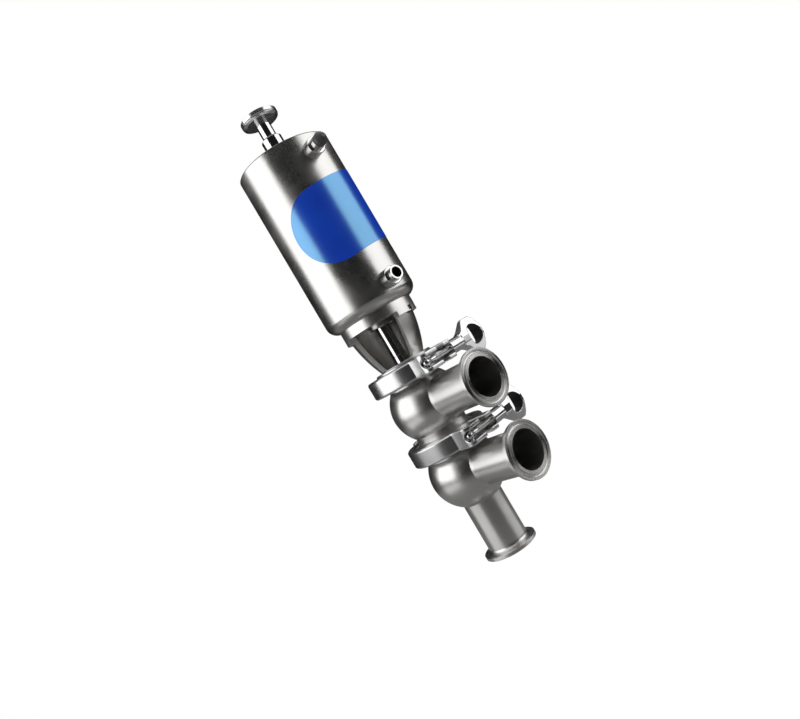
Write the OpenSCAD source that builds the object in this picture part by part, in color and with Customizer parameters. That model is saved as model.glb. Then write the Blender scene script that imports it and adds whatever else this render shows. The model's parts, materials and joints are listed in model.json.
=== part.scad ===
// Hygienic three-way seat valve with a spring-return air cylinder.
// The origin is the centre of the bottom port's face, +Z runs up the stem, and the side ports point along +X.
// All sizes are in millimetres and degrees.

/* [Port tubes and ferrules] */
// Outside diameter of the tube at each port
tube_od = 38.1; // [36:0.1:40]
// Wall of the port tubes
tube_wall = 1.65; // [1.2:0.05:2.5]
// Outside diameter of the port ferrules
port_ferrule_od = 50.5; // [49:0.1:52]
// Thickness of a ferrule's rim
ferrule_rim = 2.85; // [2.4:0.05:3.2]
// Slope of the back of a ferrule
ferrule_slope = 20; // [15:1:24]
// Radius of the gasket groove in a ferrule's face
groove_radius = 1.5; // [1:0.1:1.6]
// Distance of the side ports' faces from the stem
port_reach = 80.5; // [78:0.5:95]

/* [Body] */
// Height of the lower side port above the bottom face
lower_port_z = 80; // [76:0.5:95]
// Distance between the two side ports
port_pitch = 68.3; // [66:0.1:80]
// Outside radius of the round bowls
bowl_r = 34; // [33:0.5:36]
// Wall of the bowls
bowl_wall = 2.2; // [1.8:0.1:2.6]
// Height of the waist joint above the lower side port
waist_rise = 31; // [30:0.5:34]
// Height of the bonnet joint above the upper side port
bonnet_rise = 33.2; // [32:0.1:38]
// Outside diameter of the clamped ferrules
body_ferrule_od = 64; // [63:0.1:65]
// Outside radius of the necks behind the clamped ferrules
neck_r = 27.5; // [27:0.1:28]
// Outside radius of the upper body's necks
upper_neck_r = 25; // [24.8:0.1:26]
// Bore radius of the necks
neck_bore_r = 22.9; // [22:0.1:23.3]
// Thickness of a gasket between two ferrule faces
gasket_web = 1.6; // [1.2:0.1:2]

/* [Plug and stem] */
// Travel of the plug between its two seats
stroke = 24; // [16:1:26]
// Radius of the stem and of the rods in line with it
rod_r = 6.75; // [6:0.05:7.2]
// Ring radius of the plug's seals
seal_ring_r = 18.4; // [17.8:0.1:18.6]
// Section radius of the plug's seals
seal_section_r = 1.8; // [1.5:0.1:2]
// Length of the waist's seat ring below the joint
seat_ring_h = 9; // [8:0.5:10]

/* [Yoke] */
// Height of the yoke from the bonnet joint to the cylinder
yoke_h = 59.5; // [57:0.5:70]
// Outside radius of the ring under the cylinder
yoke_ring_r = 35.7; // [35:0.1:37]
// Height of the ring under the cylinder
yoke_ring_h = 8.5; // [6:0.5:9]
// Depth of the skirt below the ring
yoke_skirt_h = 5; // [5:0.5:7]
// Wall of the yoke
yoke_wall = 4.5; // [3.5:0.1:5]
// Radius of the yoke's bulging side
yoke_arc_r = 125; // [120:1:140]
// Opening angle of the yoke's window
window_angle = 94; // [80:1:100]
// Direction of the window's middle
window_turn = -57; // [-90:1:-30]
// Angle between the window's middle and the nearest bolt
yoke_bolt_angle = 76; // [72:1:78]

/* [Actuator] */
// Outside diameter of the cylinder
cylinder_od = 89; // [88:0.5:92]
// Height of the cylinder
cylinder_h = 161; // [155:1:190]
// Wall of the cylinder
cylinder_wall = 2; // [1.5:0.1:2.5]
// Floor of the cylinder
floor_h = 5; // [4:0.5:6]
// Radius of the cylinder's bottom corner
corner_r = 10.5; // [9:0.5:11]
// Depth of the end cover's top below the rim
cover_recess = 5; // [4:0.5:6]
// Thickness of the end cover
cover_h = 6; // [5:0.5:7]
// Height of the piston above the cylinder's floor when the valve rests
piston_rest = 22; // [20:0.5:30]
// Thickness of the piston
piston_h = 14; // [12:0.5:16]
// Radius of the guide bush in the floor
bush_r = 12; // [11:0.5:13]
// Radius of the gland round the indicator rod
gland_r = 9.8; // [9:0.1:11]
// Height of that gland above the cylinder's rim
gland_rise = 23.5; // [20:0.5:26]
// Height of the knob's underside above the cylinder's rim
knob_rise = 39.8; // [38:0.1:50]
// Radius of the knob
knob_r = 17.9; // [16:0.1:20]
// Thickness of the knob
knob_h = 6; // [5.5:0.1:7]
// Height of the knob's lower tier
tier_h = 1.8; // [1.6:0.1:2.2]

/* [Return spring] */
// Mean radius of the spring
spring_r = 28; // [26:0.5:32]
// Radius of the spring's wire
spring_wire_r = 2.6; // [2:0.1:3]
// Number of turns of the spring
spring_turns = 7; // [5:1:8]

/* [Air ports] */
// Direction of the air ports
air_turn = -5; // [-30:1:15]
// Height of the lower air port above the cylinder's underside
air_low_rise = 18; // [17:0.5:20]
// Depth of the upper air port below the cylinder's rim
air_high_drop = 17; // [16.5:0.5:18]
// Radius of an air port's boss
boss_r = 8.25; // [7.5:0.05:9]
// Length of an air port's boss
boss_len = 9; // [7:0.5:11]
// Radius of an air port's nipple
nipple_r = 6.15; // [6:0.05:7]
// Length of an air port's nipple
nipple_len = 5.5; // [4:0.5:8]
// Radius of an air port's bore
air_bore_r = 4.75; // [4:0.05:5]

/* [Label] */
// Height of the label
label_h = 70; // [60:1:80]
// Length of the label round the cylinder
label_len = 140; // [120:1:160]
// Direction of the label's left end
label_turn = -74; // [-90:1:-60]
// Rise of the label towards its right end
label_slope = 7; // [0:1:9]
// Height of the label's middle above the cylinder's underside
label_rise = 94; // [85:1:98]
// Thickness of the label
label_t = 0.3; // [0.2:0.05:0.4]

/* [Clamps] */
// Outside radius of a clamp's ring
clamp_r = 38.3; // [37.5:0.1:39]
// Height of a clamp's ring
clamp_h = 16.6; // [15.6:0.1:17]
// Inside radius of a clamp's lips
lip_r = 29.3; // [29:0.1:29.8]
// Bevel on a clamp's edges
clamp_bevel = 1.4; // [0.8:0.1:1.8]
// Distance of the hinge pin from the stem
hinge_reach = 42.5; // [42:0.1:43.5]
// Radius of the hinge knuckles
knuckle_r = 4.6; // [4.3:0.1:4.8]
// Radius of the hinge pin
hinge_pin_r = 2.4; // [2:0.1:2.6]
// Distance of the swing bolt from the stem
bolt_reach = 45.5; // [45:0.1:46.5]
// Distance of the swing bolt's pin from the clamp's parting plane
bolt_pin_y = 16.4; // [16:0.1:16.8]
// Radius of the swing bolt's pin
bolt_pin_r = 1.9; // [1.6:0.1:2.1]
// Radius of the swing bolt's ball end
ball_r = 4.3; // [4.1:0.1:4.5]
// Radius of the swing bolt's shank
shank_r = 3.2; // [3:0.05:3.3]
// Distance of the nut's seat from the swing bolt's pin
seat_reach = 29.5; // [29:0.5:31]
// Width of the slot in a clamp's ears
slot_w = 9.4; // [9.4:0.1:9.8]
// Gap between the ears of the two halves
ear_gap = 7; // [6:0.5:8]
// Radius of the ear round the swing bolt's pin
ear_round_r = 6.5; // [6.3:0.1:7]

/* [Wing nuts] */
// Radius of a wing nut's hub
hub_r = 6.5; // [6:0.1:6.6]
// Length of a wing nut
nut_len = 41.7; // [40:0.1:43]
// Span of a wing nut's wings
wing_span = 33; // [30:0.5:33.5]
// Thickness of a wing nut's wing at its tip
wing_tip_t = 3.8; // [3:0.1:5]
// Radius of the eye in a wing nut
eye_r = 8; // [7:0.1:8.2]
// Radius of a washer
washer_r = 7; // [6.8:0.1:7]
// Thickness of a washer
washer_h = 1.5; // [1.2:0.1:1.8]

/* [Hidden] */
$fn = 72;

// Clearances
slide_fit = 0.05;
press_fit = 0.01;
clamp_clear = 0.15;
joint_clear = 0.3;
seat_clear = 0.15;
label_gap = 0.07;
cut = 1;

// Radii worked out from the driving sizes
tube_r = tube_od / 2;
bore_r = tube_r - tube_wall;
port_rim_r = port_ferrule_od / 2;
body_rim_r = body_ferrule_od / 2;
cavity_r = bowl_r - bowl_wall;
port_fillet = 4;
body_fillet = 1;
side_collar = 4.5;
low_collar = 1.5;
neck_end = bowl_r / 3;
slope_rise = tan(ferrule_slope);
barrel_r = cylinder_od / 2;
barrel_bore_r = barrel_r - cylinder_wall;

// Heights worked out from the driving sizes
upper_port_z = lower_port_z + port_pitch;
waist_z = lower_port_z + waist_rise;
bonnet_z = upper_port_z + bonnet_rise;
yoke_foot_z = bonnet_z + gasket_web / 2;
cylinder_z = bonnet_z + yoke_h;
floor_top_z = cylinder_z + floor_h;
rim_z = cylinder_z + cylinder_h;
cover_top_z = rim_z - cover_recess;
cover_z = cover_top_z - cover_h;
piston_z = floor_top_z + piston_rest;
piston_top_z = piston_z + piston_h;
ring_groove = 4;
spring_seat = 4;
snap_groove_h = 2;
snap_groove_r = barrel_bore_r + 1;
snap_gap = 10;
cover_seal_r = 1.25;
cover_seal_z = cover_z + 3;
gland_thread_r = gland_r - 1.5;
cover_boss_r = gland_r + 9;
gland_top_z = rim_z + gland_rise;
knob_z = rim_z + knob_rise;

// The clamped gaskets and the seat ring in the waist
seat_ring_r = neck_r - 2.5;
seat_ring_z = waist_z - seat_ring_h;
gasket_in_r = seat_ring_r + 0.4;
gasket_bead_r = groove_radius - 0.05;
body_groove_r = (gasket_in_r + body_rim_r) / 2;
port_groove_r = (bore_r + port_rim_r) / 2 + 0.4;
seat_cone_r = neck_bore_r - 1.2;

// The plug's seals: the lower one meets the bowl, the upper one meets the seat ring's cone
low_seal_drop = sqrt(pow(cavity_r - seal_section_r - seat_clear, 2) - pow(seal_ring_r, 2));
low_seal_z = lower_port_z - low_seal_drop;
cone_rise = seat_cone_r - seal_ring_r - (seal_section_r + seat_clear) * sqrt(2);
high_seal_z = seat_ring_z + cone_rise - stroke;
plug_r = seal_ring_r + seal_section_r * 0.35;
plug_low_z = low_seal_z - 0.6;
plug_top_z = high_seal_z + 0.6;
spigot_r = rod_r * 0.74;
spigot_len = 8;
joint_edge = 0.5;
plug_edge = 1.5;
nut_room_h = 9;
nut_room_r = rod_r + 2.8;

// The bonnet in the yoke's foot
bonnet_r = neck_r - 4;
bonnet_h = 7;
stem_seal_h = 3;
stem_bush_rise = 1.5;
bush_out_r = rod_r + 2.6;
foot_h = 9.5;
foot_top_z = yoke_foot_z + foot_h;
foot_rim_z = yoke_foot_z + ferrule_rim;
foot_edge = 0.8;
sill_h = 0.5;
stem_joint_z = foot_top_z + 7.2;

// The yoke's side bulges along an arc that stands upright at the cylinder
yoke_top_r = yoke_ring_r - 3.1;
yoke_ring_z = cylinder_z - yoke_ring_h;
yoke_skirt_z = yoke_ring_z - yoke_skirt_h;
yoke_steps = 14;
yoke_bolt_r = 2.4;
yoke_bolt_reach = yoke_ring_r - 3.7;
yoke_nut_r = 3.5;
yoke_nut_h = 4;
stud_tip = 0.8;
stud_len = stud_tip + yoke_nut_h + yoke_ring_h + floor_h - cut - slide_fit;
pocket_w = 2 * yoke_nut_r + 0.6;
pocket_r = yoke_bolt_reach - yoke_nut_r + 0.3;
yoke_bolt_turns = [yoke_bolt_angle, 180 - yoke_bolt_angle, yoke_bolt_angle - 180, -yoke_bolt_angle];

// The guide bush and its two seal grooves
bush_z = yoke_ring_z - 4;
rod_groove_rises = [8, 24];
rod_groove_d = 2.4;
rod_groove_h = 3;

// The clamp's parts
rim_half = gasket_web / 2 + ferrule_rim;
hinge_gap = 1.2;
knuckle_h = clamp_h / 3 - joint_clear;
room_half = (knuckle_h + joint_clear) / 2;
pivot = [bolt_reach, -bolt_pin_y];
ear_r = bolt_reach + ear_round_r + 1;
pivot_turn = 36;
seat_turn = 20;
ear_root = 2;
ear_inset = 4;
slot_turn = -42;
seat_spread = 14;
slot_x = bolt_reach - ball_r - 3 * joint_clear;
pin_tip = 0.8;
washer_y = seat_reach + joint_clear;
nut_y = washer_y + washer_h + slide_fit;
hub_len = nut_len * 0.41;
flare_end = nut_len * 0.655;
tip_end = nut_len - 2.2;
wing_half = wing_span / 2;
eye_y = nut_len * 0.75;
eye_stretch = 1.3;
bolt_end = nut_y + eye_y - eye_r - 2;

// Point on the edge of a circle where the line from p touches it, with the circle on the line's left
function tangent_point(p, centre, r) =
    let (d = norm(centre - p), turn = atan2(centre.y - p.y, centre.x - p.x) - asin(r / d))
    p + sqrt(d * d - r * r) * [cos(turn), sin(turn)];

// Outside radius of the yoke at height z
function yoke_side_r(z) = yoke_top_r - yoke_arc_r + sqrt(pow(yoke_arc_r, 2) - pow(cylinder_z + 2 - z, 2));

// Points of an arc about a centre, from angle a to angle b
function arc(centre, r, a, b, steps) =
    [for (i = [0:steps]) let (t = a + (b - a) * i / steps) centre + r * [cos(t), sin(t)]];

// Faces of a tube made of closed rings, with both ends capped
function tube_faces(rings, sides) = concat(
    [[for (j = [0:sides - 1]) j]],
    [for (i = [0:rings - 2], j = [0:sides - 1])
        [i * sides + j, (i + 1) * sides + j, (i + 1) * sides + (j + 1) % sides, i * sides + (j + 1) % sides]],
    [[for (j = [sides - 1:-1:0]) (rings - 1) * sides + j]]);

// Distance from a bowl's middle to the weld of a port tube, where the drawn collar ends
function weld_reach(collar) = sqrt(pow(bowl_r, 2) - pow(tube_r + collar, 2)) + collar;

// Ferrule with its face at z = 0 and its neck towards +Z
module ferrule(rim_r, neck, fillet, reach) {
    root_z = ferrule_rim + (rim_r - neck - fillet) * slope_rise + fillet;
    rotate_extrude() polygon(concat([[0, 0], [rim_r, 0], [rim_r, ferrule_rim]],
        arc([neck + fillet, root_z], fillet, -90, -180, 6), [[neck, reach], [0, reach]]));
}

// Gasket groove in a ferrule's face
module face_groove(r) {
    rotate_extrude() translate([r, 0]) circle(r = groove_radius, $fn = 32);
}

// Drawn collar of a bowl along +Z, long enough to be trimmed at the weld of its port tube
module bowl_collar(collar) {
    weld = weld_reach(collar);
    rotate_extrude() polygon(concat([[0, weld - collar - 2], [tube_r + collar, weld - collar - 2]],
        arc([tube_r + collar, weld], collar, -90, -180, 6), [[tube_r, bowl_r + cut], [0, bowl_r + cut]]));
}

// Outlet of a bowl along +Z: its bore, and the cut that trims the collar at the weld
module bowl_outlet(collar) {
    cylinder(r = bore_r, h = bowl_r);
    translate([0, 0, weld_reach(collar)]) cylinder(r = tube_r + cut, h = bowl_r);
}

// Port tube with its ferrule, along +Z from its weld on a bowl's collar
module port_tube(reach, collar) {
    color("gainsboro") difference() {
        translate([0, 0, reach]) mirror([0, 0, 1])
            ferrule(port_rim_r, tube_r, port_fillet, reach - weld_reach(collar) - press_fit);
        cylinder(r = bore_r, h = reach + cut);
        translate([0, 0, reach]) face_groove(port_groove_r);
    }
}

module lower_body() {
    color("gainsboro") difference() {
        union() {
            translate([0, 0, lower_port_z]) {
                sphere(r = bowl_r);
                rotate([0, 90, 0]) bowl_collar(side_collar);
                rotate([180, 0, 0]) bowl_collar(low_collar);
            }
            translate([0, 0, waist_z - gasket_web / 2]) mirror([0, 0, 1])
                ferrule(body_rim_r, neck_r, body_fillet, waist_rise - neck_end);
        }
        translate([0, 0, lower_port_z]) {
            sphere(r = cavity_r);
            rotate([0, 90, 0]) bowl_outlet(side_collar);
            rotate([180, 0, 0]) bowl_outlet(low_collar);
            cylinder(r = neck_bore_r, h = waist_rise + bowl_r);
        }
        translate([0, 0, seat_ring_z]) cylinder(r = seat_ring_r + press_fit, h = seat_ring_h + cut);
        translate([0, 0, waist_z - gasket_web / 2]) face_groove(body_groove_r);
    }
}

module upper_body() {
    color("gainsboro") difference() {
        union() {
            translate([0, 0, upper_port_z]) {
                sphere(r = bowl_r);
                rotate([0, 90, 0]) bowl_collar(side_collar);
            }
            translate([0, 0, waist_z + gasket_web / 2])
                ferrule(body_rim_r, upper_neck_r, body_fillet, upper_port_z - waist_z - neck_end);
            translate([0, 0, bonnet_z - gasket_web / 2]) mirror([0, 0, 1])
                ferrule(body_rim_r, upper_neck_r, body_fillet, bonnet_rise - neck_end);
        }
        translate([0, 0, upper_port_z]) {
            sphere(r = cavity_r);
            rotate([0, 90, 0]) bowl_outlet(side_collar);
        }
        translate([0, 0, waist_z - bowl_r]) cylinder(r = neck_bore_r, h = bonnet_z - waist_z + 2 * bowl_r);
        translate([0, 0, waist_z + gasket_web / 2]) face_groove(body_groove_r);
        translate([0, 0, bonnet_z - gasket_web / 2]) face_groove(body_groove_r);
    }
}

module bottom_port_tube() {
    translate([0, 0, lower_port_z]) rotate([180, 0, 0]) port_tube(lower_port_z, low_collar);
}

module lower_side_tube() {
    translate([0, 0, lower_port_z]) rotate([0, 90, 0]) port_tube(port_reach, side_collar);
}

module upper_side_tube() {
    translate([0, 0, upper_port_z]) rotate([0, 90, 0]) port_tube(port_reach, side_collar);
}

// Seat ring in the waist, with its cone facing the plug
module seat_ring() {
    color("silver") translate([0, 0, seat_ring_z]) rotate_extrude() polygon([
        [seat_cone_r, 0], [seat_ring_r, 0], [seat_ring_r, seat_ring_h + gasket_web / 2],
        [bore_r, seat_ring_h + gasket_web / 2], [bore_r, seat_cone_r - bore_r]]);
}

// Gasket with a bead on both faces, centred on a joint
module gasket(in_r) {
    color("ivory") rotate_extrude() union() {
        translate([in_r, -gasket_web / 2]) square([body_rim_r - 0.6 - in_r, gasket_web]);
        for (side = [-1, 1]) translate([body_groove_r, side * gasket_web / 2])
            circle(r = gasket_bead_r, $fn = 32);
    }
}

module waist_gasket() {
    translate([0, 0, waist_z]) gasket(gasket_in_r);
}

module bonnet_gasket() {
    translate([0, 0, bonnet_z]) gasket(neck_bore_r + 0.1);
}

module bonnet() {
    color("silver") translate([0, 0, yoke_foot_z]) rotate_extrude() polygon([
        [bush_out_r, 0], [bonnet_r, 0], [bonnet_r, bonnet_h], [bush_out_r, bonnet_h]]);
}

module stem_bush() {
    bush_h = bonnet_h + stem_bush_rise - stem_seal_h;
    color("ivory") translate([0, 0, yoke_foot_z + stem_seal_h]) difference() {
        cylinder(r = bush_out_r - press_fit, h = bush_h);
        translate([0, 0, -cut]) cylinder(r = rod_r + slide_fit, h = bush_h + 2 * cut);
    }
}

module stem_seal() {
    color("black") translate([0, 0, yoke_foot_z]) difference() {
        cylinder(r = bush_out_r - press_fit, h = stem_seal_h - press_fit);
        translate([0, 0, -cut]) cylinder(r = rod_r + slide_fit, h = bonnet_h);
    }
}

// Wedge about the window's middle that cuts the window
module window_wedge(h) {
    far = yoke_ring_r * 2;
    half = window_angle / 2;
    linear_extrude(h) polygon(concat([[0, 0]], arc([0, 0], far, -half, half, 4)));
}

// Yoke: clamped foot, bulging side with a window, ring under the cylinder and a skirt with nut pockets
module yoke() {
    step_z = (yoke_ring_z - foot_top_z) / yoke_steps;
    side = [for (i = [0:yoke_steps]) foot_top_z + i * step_z];
    color("gainsboro") difference() {
        rotate_extrude() polygon(concat(
            [[bonnet_r + press_fit, yoke_foot_z], [body_rim_r, yoke_foot_z], [body_rim_r, foot_rim_z],
            [neck_r, foot_rim_z + (body_rim_r - neck_r) * slope_rise], [neck_r, foot_top_z - foot_edge],
            [neck_r - foot_edge, foot_top_z]],
            [for (z = side) if (z < yoke_skirt_z) [yoke_side_r(z), z]],
            [[yoke_side_r(yoke_skirt_z), yoke_skirt_z], [yoke_ring_r, yoke_skirt_z],
            [yoke_ring_r, cylinder_z], [bush_r + 1, cylinder_z], [bush_r + 1, yoke_ring_z]],
            [for (i = [yoke_steps:-1:0]) [yoke_side_r(side[i]) - yoke_wall, side[i]]],
            [[bush_out_r + 1, foot_top_z], [bush_out_r + 1, yoke_foot_z + bonnet_h],
            [bonnet_r + press_fit, yoke_foot_z + bonnet_h]]));
        translate([0, 0, yoke_foot_z]) face_groove(body_groove_r);
        translate([0, 0, foot_top_z + sill_h]) rotate([0, 0, window_turn])
            window_wedge(yoke_ring_z - foot_top_z - 2 * sill_h);
        for (turn = yoke_bolt_turns) rotate([0, 0, window_turn + turn]) {
            translate([pocket_r, -pocket_w / 2, yoke_skirt_z - cut])
                cube([yoke_ring_r, pocket_w, yoke_skirt_h + cut]);
            translate([yoke_bolt_reach, 0, yoke_ring_z - cut])
                cylinder(r = yoke_bolt_r + slide_fit, h = yoke_ring_h + 2 * cut);
        }
    }
}

// Four studs with their nuts in the skirt's pockets
module yoke_bolts() {
    color("silver") for (turn = yoke_bolt_turns) rotate([0, 0, window_turn + turn])
        translate([yoke_bolt_reach, 0, yoke_ring_z - yoke_nut_h]) {
            rotate([0, 0, 30]) cylinder(r = yoke_nut_r, h = yoke_nut_h - press_fit, $fn = 6);
            translate([0, 0, -stud_tip]) cylinder(r = yoke_bolt_r, h = stud_len);
        }
}

// Guide bush in the cylinder's floor; the piston rests on its top
module guide_bush() {
    bush_h = piston_z - seat_clear - bush_z;
    color("silver") translate([0, 0, bush_z]) difference() {
        rotate_extrude() polygon([[0, 0], [bush_r - 1, 0], [bush_r, 1], [bush_r, bush_h], [0, bush_h]]);
        translate([0, 0, -cut]) cylinder(r = rod_r + slide_fit, h = bush_h + 2 * cut);
        for (z = rod_groove_rises) translate([0, 0, z]) cylinder(r = rod_r + rod_groove_d, h = rod_groove_h);
    }
}

// Two rod seals in the guide bush's grooves
module rod_seals() {
    seal_h = rod_groove_h - 2 * slide_fit;
    color("black") for (z = rod_groove_rises) translate([0, 0, bush_z + z + slide_fit]) difference() {
        cylinder(r = rod_r + rod_groove_d - slide_fit, h = seal_h);
        translate([0, 0, -cut]) cylinder(r = rod_r + slide_fit, h = seal_h + 2 * cut);
    }
}

// Hole for an air fitting's spigot, along the air ports' direction
module air_hole(z) {
    translate([0, 0, z]) rotate([0, 0, air_turn]) rotate([0, 90, 0])
        cylinder(r = nipple_r + press_fit, h = barrel_r * 2);
}

module actuator_cylinder() {
    inner_corner = corner_r - 4;
    edge = 0.7;
    ring_top_z = cover_top_z + snap_groove_h;
    color("gainsboro") difference() {
        rotate_extrude() polygon(concat(
            [[bush_r + press_fit, cylinder_z]],
            arc([barrel_r - corner_r, cylinder_z + corner_r], corner_r, -90, 0, 8),
            [[barrel_r, rim_z - edge], [barrel_r - edge, rim_z], [barrel_bore_r + edge, rim_z],
            [barrel_bore_r, rim_z - edge], [barrel_bore_r, ring_top_z], [snap_groove_r, ring_top_z],
            [snap_groove_r, cover_top_z], [barrel_bore_r, cover_top_z]],
            arc([barrel_bore_r - inner_corner, floor_top_z + inner_corner], inner_corner, 0, -90, 6),
            [[bush_r + press_fit, floor_top_z]]));
        for (turn = yoke_bolt_turns) rotate([0, 0, window_turn + turn])
            translate([yoke_bolt_reach, 0, cylinder_z - cut])
                cylinder(r = yoke_bolt_r + slide_fit, h = floor_h);
        air_hole(cylinder_z + air_low_rise);
        air_hole(rim_z - air_high_drop);
    }
}

// End cover with a low boss round the gland
module end_cover() {
    color("silver") difference() {
        union() {
            translate([0, 0, cover_z]) cylinder(r = barrel_bore_r - press_fit, h = cover_h);
            translate([0, 0, cover_top_z]) cylinder(r1 = cover_boss_r, r2 = cover_boss_r - 3, h = cover_recess);
        }
        translate([0, 0, cover_z - cut])
            cylinder(r = gland_thread_r + press_fit, h = cover_h + cover_recess + 2 * cut);
        translate([0, 0, cover_seal_z - cover_seal_r - slide_fit * 3]) rotate_extrude()
            translate([barrel_bore_r - 2 * cover_seal_r, 0]) square([4, 2 * cover_seal_r + slide_fit * 6]);
    }
}

module cover_seal() {
    color("black") translate([0, 0, cover_seal_z]) rotate_extrude()
        translate([barrel_bore_r - cover_seal_r - press_fit, 0])
            circle(r = cover_seal_r - press_fit, $fn = 24);
}

// Snap ring above the end cover, open at the side away from the ports
module snap_ring() {
    ring_h = snap_groove_h - 2 * slide_fit;
    color("dimgray") translate([0, 0, cover_top_z + press_fit]) difference() {
        cylinder(r = snap_groove_r - slide_fit, h = ring_h);
        translate([0, 0, -cut]) cylinder(r = barrel_bore_r - 2.5, h = ring_h + 2 * cut);
        translate([-barrel_r - cut, -snap_gap / 2, -cut]) cube([barrel_r, snap_gap, ring_h + 2 * cut]);
    }
}

// Gland round the indicator rod, screwed into the end cover
module top_gland() {
    gland_edge = 1.6;
    color("silver") difference() {
        union() {
            translate([0, 0, cover_z + cut]) cylinder(r = gland_thread_r, h = rim_z - cover_z);
            translate([0, 0, rim_z]) rotate_extrude() polygon([[0, 0], [gland_r, 0],
                [gland_r, gland_rise - gland_edge], [gland_r - gland_edge, gland_rise], [0, gland_rise]]);
        }
        translate([0, 0, cover_z]) cylinder(r = rod_r + slide_fit, h = gland_top_z - cover_z + cut);
    }
}

// Air fitting: a boss outside the cylinder, and a nipple whose inner end passes through the wall
module air_fitting(z) {
    boss_end = barrel_r + boss_len;
    chamfer = 0.6;
    color("silver") translate([0, 0, z]) rotate([0, 0, air_turn]) difference() {
        union() {
            difference() {
                rotate([0, 90, 0]) rotate_extrude() polygon([[0, 0], [boss_r, 0],
                    [boss_r, boss_end - chamfer], [boss_r - chamfer, boss_end], [0, boss_end]]);
                translate([0, 0, -boss_r * 2]) cylinder(r = barrel_r + press_fit, h = boss_r * 4);
            }
            difference() {
                rotate([0, 90, 0]) cylinder(r = nipple_r, h = boss_end + nipple_len);
                translate([0, 0, -boss_r * 2]) cylinder(r = barrel_bore_r + press_fit, h = boss_r * 4);
            }
        }
        rotate([0, 90, 0]) cylinder(r = air_bore_r, h = barrel_r * 2);
    }
}

module lower_air_fitting() {
    air_fitting(cylinder_z + air_low_rise);
}

module upper_air_fitting() {
    air_fitting(rim_z - air_high_drop);
}

// Breather with a domed cap, screwed into the upper air fitting
module breather_plug() {
    face = barrel_r + boss_len + nipple_len;
    plug_depth = 7;
    cap_r = nipple_r - joint_clear;
    cap_h = 8.8;
    color("dimgray") translate([0, 0, rim_z - air_high_drop]) rotate([0, 0, air_turn]) rotate([0, 90, 0]) {
        translate([0, 0, face - plug_depth]) cylinder(r = air_bore_r - press_fit, h = plug_depth + cut);
        translate([0, 0, face + slide_fit]) rotate_extrude() polygon([[0, 0], [cap_r, 0], [cap_r, cap_h / 2],
            [cap_r - cap_h / 4, cap_h * 0.8], [cap_r / 3, cap_h], [0, cap_h]]);
    }
}

// Bare label: a thin sheet with round ends, wrapped on the cylinder so that it climbs to the right
module blue_label() {
    end_r = label_h / 2;
    straight = label_len / 2 - end_r;
    columns = 57;
    wrap = 180 / PI / barrel_r;
    in_r = barrel_r + label_gap;
    out_r = in_r + label_t;
    spread = [for (i = [0:columns - 1]) -cos(180 * i / (columns - 1)) * (label_len / 2 - label_gap)];
    rings = [for (s = spread)
        let (past = max(0, abs(s) - straight), half = sqrt(pow(end_r, 2) - pow(past, 2)),
            mid = s * tan(label_slope), low = mid - half, high = mid + half,
            turn = label_turn + (s + label_len / 2) * wrap, dir = [cos(turn), sin(turn)])
        each [[in_r * dir.x, in_r * dir.y, low], [out_r * dir.x, out_r * dir.y, low],
            [out_r * dir.x, out_r * dir.y, high], [in_r * dir.x, in_r * dir.y, high]]];
    color("mediumblue") translate([0, 0, cylinder_z + label_rise])
        polyhedron(points = rings, faces = tube_faces(columns, 4), convexity = 4);
}

// Knob with a bevelled lower tier and a fine groove above it
module knob() {
    edge = 0.5;
    bevel = 2.9;
    ring_h = 0.4;
    ring_d = 1.2;
    tier_r = knob_r - edge;
    color("silver") translate([0, 0, knob_z]) rotate_extrude() polygon([[spigot_r + press_fit, 0],
        [tier_r - bevel, 0], [tier_r, tier_h - 2 * ring_h], [tier_r, tier_h - ring_h],
        [knob_r - ring_d, tier_h - ring_h], [knob_r - ring_d, tier_h], [tier_r, tier_h],
        [knob_r, tier_h + edge], [knob_r, knob_h - edge], [tier_r, knob_h], [spigot_r + press_fit, knob_h]]);
}

module indicator_rod() {
    color("silver") difference() {
        union() {
            translate([0, 0, piston_top_z]) cylinder(r = rod_r, h = knob_z - piston_top_z);
            translate([0, 0, knob_z - cut]) cylinder(r = spigot_r, h = knob_h + cut - press_fit);
        }
        translate([0, 0, piston_top_z - cut]) cylinder(r = spigot_r + press_fit, h = spigot_len + cut);
    }
}

module piston() {
    color("lightsteelblue") translate([0, 0, piston_z]) difference() {
        cylinder(r = barrel_bore_r - 2 * slide_fit, h = piston_h);
        translate([0, 0, -cut]) cylinder(r = spigot_r + press_fit, h = piston_h + 2 * cut);
        translate([0, 0, (piston_h - ring_groove) / 2]) rotate_extrude()
            translate([barrel_bore_r - ring_groove, 0]) square(ring_groove + cut - slide_fit);
        translate([0, 0, piston_h - spring_seat]) rotate_extrude()
            translate([spring_r - spring_wire_r - cut, 0])
                square([2 * (spring_wire_r + cut), spring_seat + cut]);
    }
}

module piston_seal() {
    out_r = barrel_bore_r - slide_fit;
    in_r = barrel_bore_r - ring_groove + slide_fit;
    seal_h = ring_groove - 2 * slide_fit;
    bevel = 0.7;
    color("black") translate([0, 0, piston_z + (piston_h - seal_h) / 2]) rotate_extrude() polygon([
        [in_r, 0], [out_r - bevel, 0], [out_r, bevel], [out_r, seal_h - bevel], [out_r - bevel, seal_h],
        [in_r, seal_h]]);
}

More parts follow.
